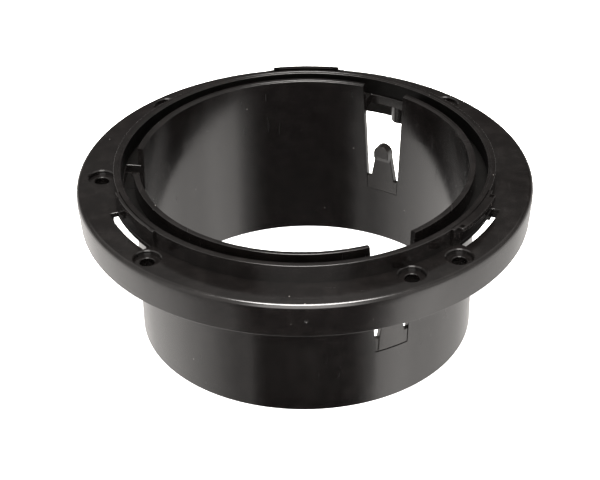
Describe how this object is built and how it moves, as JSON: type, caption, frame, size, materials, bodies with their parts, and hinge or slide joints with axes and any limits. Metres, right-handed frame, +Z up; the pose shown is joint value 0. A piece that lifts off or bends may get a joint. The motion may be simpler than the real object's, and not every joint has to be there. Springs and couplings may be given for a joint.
{
  "type": "flanged twist-lock collar",
  "caption": "Round flanged collar with an open throat, down-turned rim, upstanding rings, twist-lock lugs, screw bosses and sprung snap fingers in windows of its throat.",
  "frame": {"origin": "centre of the throat's foot, the face that the collar stands on", "axes": "+Z up along the throat's axis towards the rings, -X towards the left snap finger, +Y towards the back twist-lock lug"},
  "size_m": [0.15, 0.15, 0.06],
  "materials": {
    "flange": "gloss black moulded",
    "throat": "satin-gloss black moulded",
    "finger": "satin-gloss black moulded"
  },
  "bodies": {
    "collar": {"flange_plate": "flange", "rim_band": "flange", "twist_lock_ring": "flange", "throat_sleeve": "throat", "throat_wall_right": "throat", "throat_wall_back": "throat", "throat_wall_front": "throat", "twist_lock_lug_back": "flange", "twist_lock_lug_left": "flange", "twist_lock_lug_right": "flange", "screw_boss_045": "flange", "screw_boss_060": "flange", "screw_boss_135": "flange", "screw_boss_180": "flange", "screw_boss_225": "flange", "screw_boss_300": "flange", "screw_boss_315": "flange", "stiffening_rib_045": "flange", "stiffening_rib_060": "flange", "stiffening_rib_135": "flange", "stiffening_rib_180": "flange", "stiffening_rib_225": "flange", "stiffening_rib_300": "flange", "stiffening_rib_315": "flange", "gusset_back": "flange", "gusset_left": "flange", "gusset_front": "flange"},
    "finger_back": {"snap_finger_back": "finger"},
    "finger_left": {"snap_finger_left": "finger"},
    "finger_front": {"snap_finger_front": "finger"}
  },
  "joints": [
    {"name": "finger_flex_back", "type": "hinge", "parent": "collar", "child": "finger_back", "pos_m": [0.0274, 0.04746, 0.0193], "axis": [-0.866, 0.5, 0], "range_deg": [-1.5, 6], "stiffness_Nm_per_rad": 1.5},
    {"name": "finger_flex_left", "type": "hinge", "parent": "collar", "child": "finger_left", "pos_m": [-0.0548, 0, 0.0193], "axis": [0, -1, 0], "range_deg": [-1.5, 6], "stiffness_Nm_per_rad": 1.5},
    {"name": "finger_flex_front", "type": "hinge", "parent": "collar", "child": "finger_front", "pos_m": [0.0274, -0.04746, 0.0193], "axis": [0.866, 0.5, 0], "range_deg": [-1.5, 6], "stiffness_Nm_per_rad": 1.5}
  ]
}
